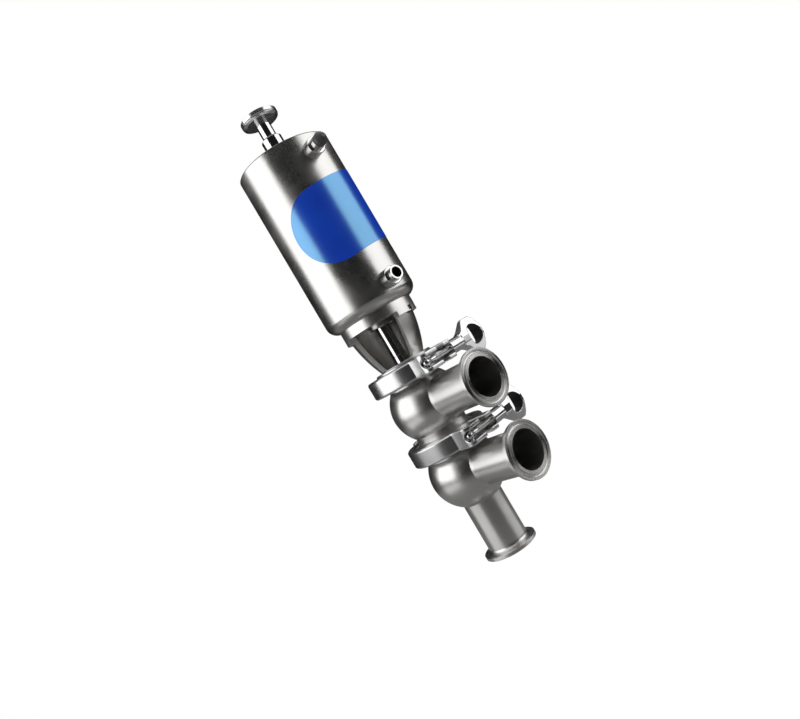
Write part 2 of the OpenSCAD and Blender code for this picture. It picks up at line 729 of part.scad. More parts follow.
// Coil spring between the piston and the end cover, one ring of points at each step along the helix
module return_spring() {
    sides = 8;
    per_turn = 18;
    count = spring_turns * per_turn + 1;
    low = piston_top_z - spring_seat + spring_wire_r + slide_fit;
    high = cover_z - spring_wire_r - slide_fit;
    pts = [for (i = [0:count - 1])
        let (t = 360 * i / per_turn, z = low + (high - low) * i / (count - 1))
        each [for (j = [0:sides - 1]) let (a = 360 * j / sides, r = spring_r + spring_wire_r * cos(a))
            [r * cos(t), r * sin(t), z + spring_wire_r * sin(a)]]];
    color("slategray") polyhedron(points = pts, faces = tube_faces(count, sides), convexity = 10);
}

// Rod from the stem's joint to the piston, with a spigot that carries the piston
module piston_rod() {
    tip_z = piston_top_z + spigot_len - cut;
    color("silver") rotate_extrude() polygon([[0, stem_joint_z], [rod_r - joint_edge, stem_joint_z],
        [rod_r, stem_joint_z + joint_edge], [rod_r, piston_z], [spigot_r, piston_z], [spigot_r, tip_z],
        [0, tip_z]]);
}

// Stem from the joint in the yoke down to the plug
module valve_stem() {
    tip_z = plug_low_z + cut;
    color("silver") rotate_extrude() polygon([[0, tip_z], [spigot_r, tip_z], [spigot_r, plug_top_z],
        [rod_r, plug_top_z], [rod_r, stem_joint_z - joint_edge], [rod_r - joint_edge, stem_joint_z],
        [0, stem_joint_z]]);
}

// Plug with a groove at each end for its seals and a counterbore for its nut
module plug() {
    color("silver") rotate_extrude() difference() {
        polygon([[nut_room_r, plug_low_z], [plug_r - plug_edge, plug_low_z],
            [plug_r, plug_low_z + plug_edge], [plug_r, plug_top_z - plug_edge],
            [plug_r - plug_edge, plug_top_z],
            [spigot_r + press_fit, plug_top_z], [spigot_r + press_fit, plug_low_z + nut_room_h],
            [nut_room_r, plug_low_z + nut_room_h]]);
        for (z = [low_seal_z, high_seal_z]) translate([seal_ring_r, z]) circle(r = seal_section_r, $fn = 24);
    }
}

module plug_seals() {
    color("black") for (z = [low_seal_z, high_seal_z]) translate([0, 0, z])
        rotate_extrude() translate([seal_ring_r, 0]) circle(r = seal_section_r - press_fit, $fn = 24);
}

module plug_nut() {
    nut_h = nut_room_h - 2 * cut;
    color("silver") translate([0, 0, plug_low_z + nut_room_h - nut_h - press_fit]) difference() {
        cylinder(r = rod_r + 2, h = nut_h, $fn = 6);
        translate([0, 0, -cut]) cylinder(r = spigot_r + press_fit, h = nut_room_h);
    }
}

// Whole ring of a clamp, centred on its joint
module clamp_ring() {
    half = clamp_h / 2;
    lip_half = rim_half + (body_rim_r - lip_r) * slope_rise + clamp_clear;
    root_r = body_rim_r + 0.6;
    root_half = rim_half + clamp_clear;
    rotate_extrude() polygon([[lip_r, lip_half], [lip_r, half - clamp_bevel], [lip_r + clamp_bevel, half],
        [clamp_r - clamp_bevel, half], [clamp_r, half - clamp_bevel], [clamp_r, clamp_bevel - half],
        [clamp_r - clamp_bevel, -half], [lip_r + clamp_bevel, -half], [lip_r, clamp_bevel - half],
        [lip_r, -lip_half], [root_r - 0.6, -root_half], [root_r, -root_half],
        [root_r, root_half], [root_r - 0.6, root_half]]);
}

// Half of the ring on the +Y side, with the parting gaps cut
module ring_half() {
    far = hinge_reach * 2;
    difference() {
        clamp_ring();
        translate([0, ear_gap / 2 - far, -clamp_h]) cube([far, far, clamp_h * 2]);
        translate([-far, hinge_gap / 2 - far, -clamp_h]) cube([far + cut, far, clamp_h * 2]);
    }
}

// Knuckle on the hinge pin with its web to the ring, from height low to high
module knuckle(low, high, bore) {
    web = hinge_reach - clamp_r + 4;
    translate([-hinge_reach, 0, low]) difference() {
        union() {
            cylinder(r = knuckle_r, h = high - low);
            translate([0, hinge_gap / 4, 0]) cube([web, knuckle_r - hinge_gap / 4, high - low]);
        }
        translate([0, 0, -cut]) cylinder(r = bore, h = high - low + 2 * cut);
    }
}

// Room round the hinge pin for the other half's knuckle
module knuckle_room(low, high) {
    translate([-hinge_reach, 0, low]) cylinder(r = knuckle_r + joint_clear, h = high - low);
}

// Ear of the half that holds the nut's seat, its outer face an arc about the swing bolt's pin
module seat_ear() {
    spread = asin((ear_r - bolt_reach) / seat_reach);
    start = (clamp_r - ear_root) * [cos(seat_turn), sin(seat_turn)];
    outer = arc(pivot, seat_reach, 90 + seat_spread, 90 - spread, 8);
    difference() {
        translate([0, 0, -clamp_h / 2]) linear_extrude(clamp_h) polygon(concat(
            [[clamp_r - ear_inset, ear_gap / 2], start], outer, [[ear_r, ear_gap / 2]]));
        translate([slot_x, 0, -slot_w / 2]) cube([clamp_r, clamp_r, slot_w]);
    }
}

// Ear of the half that carries the swing bolt's pin: round about the pin, with a slot round its outer side
module pivot_ear() {
    start = (clamp_r - ear_root) * [cos(pivot_turn), -sin(pivot_turn)];
    touch = tangent_point(start, pivot, ear_round_r);
    difference() {
        translate([0, 0, -clamp_h / 2]) linear_extrude(clamp_h) union() {
            translate(pivot) circle(r = ear_round_r);
            polygon([[clamp_r - ear_inset, -ear_gap / 2], start, touch, pivot,
                [pivot.x + ear_round_r, pivot.y], [pivot.x + ear_round_r, -ear_gap / 2]]);
        }
        translate([0, 0, -slot_w / 2]) linear_extrude(slot_w) union() {
            translate(pivot) circle(r = slot_w / 2);
            polygon([pivot, pivot + clamp_r * [cos(slot_turn), sin(slot_turn)], pivot + [clamp_r, 0],
                pivot + [clamp_r, clamp_r], [slot_x, pivot.y + clamp_r], [slot_x, pivot.y]]);
        }
        translate([pivot.x, pivot.y, 0]) rotate([0, 0, slot_turn]) rotate([0, 90, 0])
            cylinder(r = slot_w / 2, h = clamp_r);
        translate([pivot.x, pivot.y, -clamp_h]) cylinder(r = bolt_pin_r + press_fit, h = clamp_h * 2);
    }
}

// Half with the swing bolt's pin and the hinge's two outer knuckles
module fixed_half() {
    inner = knuckle_h / 2 + joint_clear;
    color("silver") union() {
        difference() {
            mirror([0, 1, 0]) ring_half();
            knuckle_room(-room_half, room_half);
        }
        mirror([0, 1, 0]) {
            knuckle(inner, clamp_h / 2, hinge_pin_r + press_fit);
            knuckle(-clamp_h / 2, -inner, hinge_pin_r + press_fit);
        }
        pivot_ear();
    }
}

// Half with the nut's seat and the hinge's middle knuckle
module moving_half() {
    inner = knuckle_h / 2;
    color("silver") union() {
        difference() {
            ring_half();
            knuckle_room(room_half, clamp_h);
            knuckle_room(-clamp_h, -room_half);
        }
        knuckle(-inner, inner, hinge_pin_r + slide_fit);
        seat_ear();
    }
}

module hinge_pin() {
    color("dimgray") translate([-hinge_reach, 0, -clamp_h / 2 - pin_tip])
        cylinder(r = hinge_pin_r, h = clamp_h + 2 * pin_tip);
}

module bolt_pin() {
    color("dimgray") translate([pivot.x, pivot.y, -clamp_h / 2 - joint_clear])
        cylinder(r = bolt_pin_r, h = clamp_h + 2 * joint_clear);
}

// Swing bolt: ball end on its pin, and a shank along +Y
module swing_bolt() {
    tip_edge = 0.6;
    color("silver") translate([pivot.x, pivot.y, 0]) difference() {
        union() {
            sphere(r = ball_r);
            rotate([-90, 0, 0]) rotate_extrude() polygon([[0, 0], [shank_r, 0],
                [shank_r, bolt_end - tip_edge], [shank_r - tip_edge, bolt_end], [0, bolt_end]]);
        }
        translate([0, 0, -clamp_h]) cylinder(r = bolt_pin_r + slide_fit, h = clamp_h * 2);
    }
}

module washer() {
    color("silver") translate([pivot.x, pivot.y + washer_y, 0]) rotate([-90, 0, 0]) difference() {
        cylinder(r = washer_r, h = washer_h);
        translate([0, 0, -cut]) cylinder(r = shank_r + slide_fit, h = washer_h + 2 * cut);
    }
}

// Wing nut: round hub, wings that flare and thin towards their tips, and an eye between them
module wing_nut() {
    flare = [[0, 0], [0, hub_r], [hub_len - 1.5, hub_r], [hub_len + 1.5, hub_r + 1.6],
        [flare_end - 4, wing_half - 3.6], [flare_end - 1.2, wing_half - 0.7], [flare_end + 1, wing_half],
        [tip_end - 2, wing_half], [tip_end + 0.4, wing_half - 3], [nut_len - 0.5, wing_half / 2],
        [nut_len, wing_half / 5], [nut_len, 0]];
    color("silver") translate([pivot.x, pivot.y + nut_y, 0]) difference() {
        union() {
            rotate([-90, 0, 0]) cylinder(r = hub_r, h = hub_len + 2);
            intersection() {
                rotate([0, 90, 0]) linear_extrude(hub_r * 2, center = true) union() {
                    rotate(90) polygon(flare);
                    mirror([1, 0]) rotate(90) polygon(flare);
                }
                rotate([-90, 0, 0]) linear_extrude(nut_len) polygon([
                    [hub_r, -hub_r * 0.5], [hub_r, hub_r * 0.5], [wing_tip_t / 2, wing_half],
                    [-wing_tip_t / 2, wing_half], [-hub_r, hub_r * 0.5], [-hub_r, -hub_r * 0.5],
                    [-wing_tip_t / 2, -wing_half], [wing_tip_t / 2, -wing_half]]);
                translate([-hub_r, hub_len - 3, -wing_half]) cube([2 * hub_r, nut_len, wing_span]);
            }
        }
        for (side = [-1, 1]) translate([0, eye_y, side * eye_stretch]) rotate([0, 90, 0])
            cylinder(r = eye_r, h = hub_r * 4, center = true);
        rotate([-90, 0, 0]) translate([0, 0, -cut]) cylinder(r = shank_r + slide_fit, h = eye_y);
    }
}

module upper_fixed_half() { translate([0, 0, bonnet_z]) fixed_half(); }
module upper_moving_half() { translate([0, 0, bonnet_z]) moving_half(); }
module upper_hinge_pin() { translate([0, 0, bonnet_z]) hinge_pin(); }
module upper_bolt_pin() { translate([0, 0, bonnet_z]) bolt_pin(); }
module upper_swing_bolt() { translate([0, 0, bonnet_z]) swing_bolt(); }
module upper_washer() { translate([0, 0, bonnet_z]) washer(); }
module upper_wing_nut() { translate([0, 0, bonnet_z]) wing_nut(); }

module lower_fixed_half() { translate([0, 0, waist_z]) fixed_half(); }
module lower_moving_half() { translate([0, 0, waist_z]) moving_half(); }
module lower_hinge_pin() { translate([0, 0, waist_z]) hinge_pin(); }
module lower_bolt_pin() { translate([0, 0, waist_z]) bolt_pin(); }
module lower_swing_bolt() { translate([0, 0, waist_z]) swing_bolt(); }
module lower_washer() { translate([0, 0, waist_z]) washer(); }
module lower_wing_nut() { translate([0, 0, waist_z]) wing_nut(); }

lower_body();
bottom_port_tube();
lower_side_tube();
upper_body();
upper_side_tube();
seat_ring();
waist_gasket();
bonnet_gasket();
bonnet();
stem_bush();
stem_seal();
yoke();
yoke_bolts();
guide_bush();
rod_seals();
actuator_cylinder();
end_cover();
cover_seal();
snap_ring();
top_gland();
lower_air_fitting();
upper_air_fitting();
breather_plug();
blue_label();
knob();
indicator_rod();
piston();
piston_seal();
return_spring();
piston_rod();
valve_stem();
plug();
plug_seals();
plug_nut();
upper_fixed_half();
upper_moving_half();
upper_hinge_pin();
upper_bolt_pin();
upper_swing_bolt();
upper_washer();
upper_wing_nut();
lower_fixed_half();
lower_moving_half();
lower_hinge_pin();
lower_bolt_pin();
lower_swing_bolt();
lower_washer();
lower_wing_nut();
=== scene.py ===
"""Looks of the sanitary three-way valve: finishes, cast edges, threads, studio and camera round the CAD frame."""

import json
import math

import bpy
from mathutils import Matrix, Vector


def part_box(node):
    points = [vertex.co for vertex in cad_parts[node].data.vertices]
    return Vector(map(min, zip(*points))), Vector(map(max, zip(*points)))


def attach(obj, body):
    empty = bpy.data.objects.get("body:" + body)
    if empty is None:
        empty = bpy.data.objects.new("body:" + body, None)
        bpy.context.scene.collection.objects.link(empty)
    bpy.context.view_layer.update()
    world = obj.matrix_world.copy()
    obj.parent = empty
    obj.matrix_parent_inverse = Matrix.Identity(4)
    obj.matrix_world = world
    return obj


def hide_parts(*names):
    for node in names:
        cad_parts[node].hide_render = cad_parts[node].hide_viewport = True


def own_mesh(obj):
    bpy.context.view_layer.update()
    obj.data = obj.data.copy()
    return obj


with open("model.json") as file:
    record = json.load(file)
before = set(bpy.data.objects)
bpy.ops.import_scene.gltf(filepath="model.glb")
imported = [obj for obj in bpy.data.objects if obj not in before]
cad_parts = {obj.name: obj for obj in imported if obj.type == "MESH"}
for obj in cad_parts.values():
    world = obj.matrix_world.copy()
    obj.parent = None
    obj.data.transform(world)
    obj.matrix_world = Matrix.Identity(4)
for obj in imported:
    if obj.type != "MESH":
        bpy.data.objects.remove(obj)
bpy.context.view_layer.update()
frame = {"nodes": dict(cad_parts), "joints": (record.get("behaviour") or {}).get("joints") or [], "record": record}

MM = 0.001
NODES = frame["nodes"]
JOINTS = {joint["name"]: joint for joint in frame["joints"]}

# The camera stands level with the middle of the body, and its roll makes the valve lean to the left.
# Angles are in degrees, and the studio's angles start at the camera
CAMERA_TURN = -39.7
CAMERA_REACH = 0.592
CAMERA_HEIGHT = 0.195
CAMERA_ASIDE = -0.001
CAMERA_LEAN = 30.6
CAMERA_LENS = 29.57
SENSOR = 36.0

FLOOR_Z = -0.75
WALL_REACH = 1.3
WALL_LOW_Z = -0.28
WALL_HIGH_Z = 1.5
GLOW_REACH = 1.1
SOFTBOX_REACH = 0.9
SEES_WHITE = ("Is Camera Ray", "Is Glossy Ray", "Is Transmission Ray")

# Steel colours, in linear light
BODY_STEEL = (0.66, 0.65, 0.635)
CYLINDER_STEEL = (0.60, 0.59, 0.575)
POLISHED_STEEL = (0.70, 0.70, 0.70)
DARK_STEEL = (0.30, 0.30, 0.30)

# Middle of a wing nut's eye, from the bolt's pivot line out along the bolt, and the eye's radius
EYE_ALONG = 31.3 * MM
EYE_RADIUS = 8 * MM


def node(tree, kind, inputs=None, **settings):
    """New node with its settings, and each named input joined to a socket or set to a value."""
    made = tree.nodes.new(kind)
    for name, value in settings.items():
        setattr(made, name, value)
    for name, value in (inputs or {}).items():
        if isinstance(value, bpy.types.NodeSocket):
            tree.links.new(value, made.inputs[name])
        else:
            made.inputs[name].default_value = value
    return made


def calc(tree, operation, *values):
    """Result of one step of arithmetic over sockets or plain values."""
    return node(tree, "ShaderNodeMath", dict(enumerate(values)), operation=operation).outputs[0]


def vector_calc(tree, operation, output, *values):
    """The named output of one vector step over sockets or plain values."""
    return node(tree, "ShaderNodeVectorMath", dict(enumerate(values)), operation=operation).outputs[output]


def ramp(tree, value, start, stop, low=0.0, high=1.0):
    """Value spread from low at start to high at stop, and level outside them."""
    ends = {"Value": value, "From Min": start, "From Max": stop, "To Min": low, "To Max": high}
    return node(tree, "ShaderNodeMapRange", ends).outputs["Result"]


def blended(tree, factor, first, second):
    """Colour between two colours or sockets."""
    ends = {"Factor": factor, "A": first, "B": second}
    return node(tree, "ShaderNodeMix", ends, data_type="RGBA").outputs["Result"]


def coordinate(tree, name):
    return tree.nodes.new("ShaderNodeTexCoord").outputs[name]


def object_noise(tree, scale, detail, stretch=(1, 1, 1)):
    """Noise over the piece's own coordinates, stretched along its axes."""
    place = node(tree, "ShaderNodeMapping", {"Vector": coordinate(tree, "Object"), "Scale": stretch})
    settings = {"Vector": place.outputs["Vector"], "Scale": scale, "Detail": detail}
    return node(tree, "ShaderNodeTexNoise", settings).outputs["Fac"]


def between(tree, noise, low, high):
    """The noise's middle spread from low to high."""
    return ramp(tree, noise, 0.3, 0.7, low, high)


def mottled(tree, noise, dark, light):
    """Colour that the noise takes from one tone to the other."""
    return blended(tree, between(tree, noise, 0, 1), (*dark, 1), (*light, 1))


def rounded_bump(tree, shader, height, depth, strength, edge):
    """Fine relief on top of edges rounded by the given radius."""
    bump = node(tree, "ShaderNodeBump", {"Height": height, "Distance": depth, "Strength": strength})
    if edge:
        bevel = node(tree, "ShaderNodeBevel", {"Radius": edge}, samples=4)
        tree.links.new(bevel.outputs["Normal"], bump.inputs["Normal"])
    tree.links.new(bump.outputs["Normal"], shader.inputs["Normal"])


def bare_material(name):
    """Material with nothing but its output, whose surface socket comes with it."""
    made = bpy.data.materials.new(name)
    made.use_nodes = True
    made.node_tree.nodes.clear()
    output = made.node_tree.nodes.new("ShaderNodeOutputMaterial")
    return made, made.node_tree, output.inputs["Surface"]


def new_material(name):
    """Material of one shader, with its node tree and the shader."""
    made, tree, surface = bare_material(name)
    shader = tree.nodes.new("ShaderNodeBsdfPrincipled")
    tree.links.new(shader.outputs["BSDF"], surface)
    return made, tree, shader


def opened(finish):
    """A finish's node tree and its shader."""
    tree = finish.node_tree
    return tree, next(each for each in tree.nodes if each.type == "BSDF_PRINCIPLED")


def source(shader, name):
    """The socket that feeds the shader's named input."""
    return shader.inputs[name].links[0].from_socket


def steel(name, tone, rough, cloud=0.05, grain=0.15, stretch=(1, 1, 1), edge=0.3):
    """Stainless steel: cloudy roughness, slight tone shift and a fine grain; the edge is in millimetres."""
    grain_size = 0.5 * MM
    grain_depth = 0.04 * MM
    made, tree, shader = new_material(name)
    shader.inputs["Metallic"].default_value = 1.0
    clouds = object_noise(tree, 45, 4)
    darker = tuple(v * 0.93 for v in tone)
    tree.links.new(mottled(tree, clouds, darker, tone), shader.inputs["Base Color"])
    tree.links.new(between(tree, clouds, rough - cloud, rough + cloud), shader.inputs["Roughness"])
    rounded_bump(tree, shader, object_noise(tree, 1 / grain_size, 3, stretch), grain_depth, grain, edge * MM)
    return made


def turned_face(finish, axis, direction):
    """Turning marks on the faces that look along the axis: the steel there mirrors in fans across the rings."""
    strongest = 0.98
    smoother = 0.08
    tree, shader = opened(finish)
    look = vector_calc(tree, "DOT_PRODUCT", "Value", coordinate(tree, "Normal"), direction)
    flat = ramp(tree, look, 0.80, 0.95, high=strongest)
    tree.links.new(flat, shader.inputs["Anisotropic"])
    shader.inputs["Anisotropic Rotation"].default_value = 0.25
    rough = calc(tree, "MULTIPLY_ADD", flat, -smoother, source(shader, "Roughness"))
    tree.links.new(rough, shader.inputs["Roughness"])
    rings = node(tree, "ShaderNodeTangent", direction_type="RADIAL", axis=axis)
    tree.links.new(rings.outputs["Tangent"], shader.inputs["Tangent"])
    return finish


def painted_shade_rim(finish, top, depth, share):
    """Darkens the steel's colour over the last depth below the top: painted shade along the top edge."""
    tree, shader = opened(finish)
    parts = node(tree, "ShaderNodeSeparateXYZ", {0: coordinate(tree, "Object")})
    shade_fade = ramp(tree, parts.outputs["Z"], top - depth, top - depth / 2, 1, share)
    darker = node(
        tree, "ShaderNodeVectorMath", {0: source(shader, "Base Color"), "Scale": shade_fade}, operation="SCALE"
    )
    tree.links.new(darker.outputs["Vector"], shader.inputs["Base Color"])
    return finish


def shaded_cast_eye(finish, centre, reach):
    """Paints shade into the wall of a wing nut's eye, round the point and within the reach: a dark painted tone
    where the recess lies in shadow, and rougher steel as it was cast.
    """
    oval = (0, 1, 0.87)
    inner, outer = reach + 0.3 * MM, reach + 0.9 * MM
    painted_shade_tone = (0.07, 0.07, 0.07, 1)
    rougher_by = 0.3
    tree, shader = opened(finish)
    offset = vector_calc(tree, "SUBTRACT", "Vector", coordinate(tree, "Object"), centre)
    away = vector_calc(tree, "LENGTH", "Value", vector_calc(tree, "MULTIPLY", "Vector", offset, oval))
    near = ramp(tree, away, outer, inner)
    sideways = vector_calc(tree, "DOT_PRODUCT", "Value", coordinate(tree, "Normal"), (1, 0, 0))
    wall = ramp(tree, calc(tree, "ABSOLUTE", sideways), 0.7, 0.4)
    shaded_wall = calc(tree, "MULTIPLY", near, wall)
    # Painted shade: the eye's wall takes a near-black tone where the recess lies in shadow
    tone = blended(tree, shaded_wall, source(shader, "Base Color"), painted_shade_tone)
    tree.links.new(tone, shader.inputs["Base Color"])
    rough = calc(tree, "MULTIPLY_ADD", shaded_wall, rougher_by, source(shader, "Roughness"))
    tree.links.new(rough, shader.inputs["Roughness"])
    return finish


def soft_plain(name, dark, light, rough):
    """Rubber or plastic with a slight mottle and grain."""
    grain_size = 0.4 * MM
    grain_depth = 0.05 * MM
    made, tree, shader = new_material(name)
    clouds = object_noise(tree, 120, 3)
    tree.links.new(mottled(tree, clouds, dark, light), shader.inputs["Base Color"])
    tree.links.new(between(tree, clouds, rough - 0.05, rough + 0.08), shader.inputs["Roughness"])
    rounded_bump(tree, shader, object_noise(tree, 1 / grain_size, 3), grain_depth, 0.3, 0.2 * MM)
    return made


def label_film(name):
    """Glossy blue film whose shine is tinted too, with a faint unevenness."""
    made, tree, shader = new_material(name)
    blue = mottled(tree, object_noise(tree, 35, 2), (0.0, 0.042, 0.64), (0.0, 0.056, 0.74))
    tree.links.new(blue, shader.inputs["Base Color"])
    shader.inputs["Roughness"].default_value = 0.24
    shader.inputs["IOR"].default_value = 3.2
    shader.inputs["Specular Tint"].default_value = (0.42, 0.92, 1.0, 1)
    rounded_bump(tree, shader, object_noise(tree, 60, 2), 0.1 * MM, 0.04, 0)
    return made


FINISHES = {
    "body_steel": steel("satin_body", BODY_STEEL, 0.32, edge=0.6),
    "yoke_steel": steel("turned_yoke", BODY_STEEL, 0.33, stretch=(0.05, 0.05, 1), grain=0.12),
    "cylinder_steel": steel("drawn_cylinder", CYLINDER_STEEL, 0.28, grain=0.2),
    "polished_steel": steel("polished", POLISHED_STEEL, 0.10, cloud=0.03, grain=0.04, edge=0.25),
    "clamp_steel": steel("polished_clamp", POLISHED_STEEL, 0.29, cloud=0.04, grain=0.08),
    "nut_steel": steel("polished_nut", POLISHED_STEEL, 0.18, cloud=0.04, grain=0.06),
    "spring_steel": steel("spring_wire", DARK_STEEL, 0.35, stretch=(1, 1, 0.2)),
    "piston_aluminium": steel("turned_piston", (0.78, 0.79, 0.80), 0.28, stretch=(0.05, 0.05, 1)),
    "seal_rubber": soft_plain("black_rubber", (0.012, 0.012, 0.012), (0.022, 0.022, 0.022), 0.55),
    "bush_plastic": soft_plain("white_bush", (0.78, 0.76, 0.71), (0.85, 0.84, 0.80), 0.45),
    "breather_plastic": soft_plain("dark_breather", (0.03, 0.03, 0.03), (0.06, 0.06, 0.06), 0.38),
    "label_blue": label_film("blue_film"),
}


def dress(piece, finish):
    """Gives a piece one finish and no other."""
    piece.data.materials.clear()
    piece.data.materials.append(finish)


def dress_cad_nodes():
    """Gives each CAD node the finish of its record slot."""
    for subpart in frame["record"]["subparts"]:
        dress(NODES[subpart["node"]], FINISHES[subpart["material_slot"]])


def cast_edges(name, voxel, rounds):
    """Rounds a casting's edges: an even mesh of the given voxel in millimetres, smoothed a few times."""
    even = NODES[name].modifiers.new("even", "REMESH")
    even.mode = "VOXEL"
    even.voxel_size = voxel * MM
    even.use_smooth_shade = True
    soft = NODES[name].modifiers.new("soft", "SMOOTH")
    soft.factor = 0.5
    soft.iterations = rounds


def smooth_turning(name, sharpest):
    """Even shading over a turned side: faces that meet at less than the given angle shade as one."""
    mesh = NODES[name].data
    mesh.normals_split_custom_set([(0, 0, 0)] * len(mesh.loops))
    tree = bpy.data.node_groups.new(f"{name}_shading", "GeometryNodeTree")
    for way in ("INPUT", "OUTPUT"):
        tree.interface.new_socket("Geometry", in_out=way, socket_type="NodeSocketGeometry")
    whole = tree.nodes.new("NodeGroupInput").outputs[0]
    weld = node(tree, "GeometryNodeMergeByDistance", {"Geometry": whole, "Distance": 0.002 * MM})
    faces = node(tree, "GeometryNodeSetShadeSmooth", {"Geometry": weld.outputs["Geometry"]})
    angle = tree.nodes.new("GeometryNodeInputMeshEdgeAngle").outputs["Unsigned Angle"]
    less = node(tree, "FunctionNodeCompare", {"A": angle, "B": math.radians(sharpest)}, operation="LESS_THAN")
    shading = {"Geometry": faces.outputs["Geometry"], "Shade Smooth": less.outputs["Result"]}
    edges = node(tree, "GeometryNodeSetShadeSmooth", shading, domain="EDGE")
    node(tree, "NodeGroupOutput", {0: edges.outputs["Geometry"]})
    NODES[name].modifiers.new("shading", "NODES").node_group = tree


def mesh_piece(name, verts, faces, smooth=0):
    """Mesh object in the scene, with the given number of its faces, from the first, shaded smooth."""
    mesh = bpy.data.meshes.new(name)
    mesh.from_pydata(verts, [], faces)
    mesh.validate()
    mesh.polygons.foreach_set("use_smooth", [i < smooth for i in range(len(faces))])
    made = bpy.data.objects.new(name, mesh)
    bpy.context.scene.collection.objects.link(made)
    return made


def sheet_faces(columns, rows):
    """Faces of a sheet of points that run up each column in turn."""
    step = rows + 1
    corners = [i * step + j for i in range(columns) for j in range(rows)]
    return [(first, first + step, first + step + 1, first + 1) for first in corners]


def lathe(name, profile, sides, place, radius_at):
    """Solid of revolution: (radius, height) points in millimetres about place's own Z axis."""
    verts, faces = [], []
    for radius, height in profile:
        for i in range(sides):
            turn = 2 * math.pi * i / sides
            reach = radius_at(radius, height, turn)
            verts.append(place @ (Vector((reach * math.cos(turn), reach * math.sin(turn), height)) * MM))
    for ring in range(len(profile) - 1):
        for i in range(sides):
            a, b = ring * sides + i, ring * sides + (i + 1) % sides
            faces.append((a, b, b + sides, a + sides))
    walls = len(faces)
    faces.append(tuple(range(sides))[::-1])
    faces.append(tuple(range((len(profile) - 1) * sides, len(profile) * sides)))
    return mesh_piece(name, verts, faces, walls)


def stand_in(piece, name, body, slot):
    """The piece takes a CAD node's place on its body, in a record finish."""
    dress(piece, FINISHES[slot])
    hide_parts(name)
    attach(piece, body)


def threaded_bolt(clamp):
    """Swing bolt with a ball end and a thread as far as its tip, in millimetres from the pivot."""
    low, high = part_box(f"{clamp}_swing_bolt")
    pivot = Vector(JOINTS[f"{clamp}_bolt_swing"]["pos_m"])
    ball = (high.z - low.z) / 2 / MM
    tip = (high.y - pivot.y) / MM
    shank, pitch, depth, chamfer = 3.2, 1.25, 0.42, 0.6
    thread_start, thread_end = 11.0, tip - 0.5
    steps = 8
    profile = [(ball * math.sin(math.radians(a)), -ball * math.cos(math.radians(a))) for a in range(6, 133, 6)]
    profile.append((shank - depth, thread_start - 1))
    turns = int((tip - chamfer - thread_start) / pitch * steps)
    profile += [(shank, thread_start + pitch * i / steps) for i in range(turns + 1)]
    profile.append((shank - chamfer, tip - 0.02))

    def thread(radius, height, turn):
        if radius != shank or height > thread_end:
            return radius
        phase = (height / pitch - turn / (2 * math.pi)) % 1
        return radius - depth * abs(2 * phase - 1)

    along_bolt = Vector((0, 1, 0)).to_track_quat("Z", "Y").to_matrix().to_4x4()
    made = lathe(f"{clamp}_threaded_bolt", profile, 40, Matrix.Translation(pivot) @ along_bolt, thread)
    stand_in(made, f"{clamp}_swing_bolt", f"{clamp}_bolt", "polished_steel")


def wrapped_label():
    """Film label rolled round the cylinder: a long oval that climbs to the right."""
    off_wall, thickness = 0.10 * MM, 0.12 * MM
    end_radius, length = 34.2 * MM, 150 * MM
    slope = math.radians(7)
    start_turn, start_height = math.radians(-30.8), 82.2 * MM
    columns, rows = 120, 16
    low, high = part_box("actuator_cylinder")
    middle = (low + high) / 2
    barrel = (high.x - low.x) / 2 + off_wall
    first = Vector((start_turn * barrel, low.z + start_height))
    straight = length - 2 * end_radius
    verts = []
    for i in range(columns + 1):
        along = length / 2 - length / 2 * math.cos(math.pi * i / columns) - end_radius
        over = max(-along, along - straight, 0)
        half = math.sqrt(max(end_radius * end_radius - over * over, 1e-10))
        for j in range(rows + 1):
            across = half * (2 * j / rows - 1)
            u = first.x + along * math.cos(slope) - across * math.sin(slope)
            v = first.y + along * math.sin(slope) + across * math.cos(slope)
            turn = u / barrel
            verts.append((middle.x + barrel * math.cos(turn), middle.y + barrel * math.sin(turn), v))
    made = mesh_piece("wrapped_label", verts, sheet_faces(columns, rows), columns * rows)
    film = made.modifiers.new("film", "SOLIDIFY")
    film.thickness = thickness
    film.offset = 1
    made.modifiers.new("crisp_rim", "EDGE_SPLIT").split_angle = math.radians(30)
    stand_in(made, "blue_label", "valve_body", "label_blue")


def shortening_spring():
    """Return spring under the end cover: a copy of the CAD spring with its own mesh, fixed to the valve body."""
    made = NODES["return_spring"].copy()
    made.name = "coil_spring"
    made.data = NODES["return_spring"].data.copy()
    bpy.context.scene.collection.objects.link(made)
    stand_in(made, "return_spring", "valve_body", "spring_steel")
    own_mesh(made)


def white_share(tree, share):
    """Share of a shader for the rays that see white, and none for the others."""
    path = tree.nodes.new("ShaderNodeLightPath")
    total = path.outputs[SEES_WHITE[0]]
    for name in SEES_WHITE[1:]:
        total = calc(tree, "MAXIMUM", total, path.outputs[name])
    return calc(tree, "MULTIPLY", total, share)


def world_light():
    """White where the camera and the steel look past everything, and a soft grey that lights the pieces."""
    world = bpy.data.worlds.new("studio")
    bpy.context.scene.world = world
    world.use_nodes = True
    tree = world.node_tree
    tree.nodes.clear()
    room = node(tree, "ShaderNodeBackground", {"Color": (0.30, 0.30, 0.30, 1)}).outputs[0]
    white = node(tree, "ShaderNodeBackground", {"Color": (1, 1, 1, 1)}).outputs[0]
    mix = node(tree, "ShaderNodeMixShader", {"Fac": white_share(tree, 1.0), 1: room, 2: white})
    node(tree, "ShaderNodeOutputWorld", {"Surface": mix.outputs[0]})


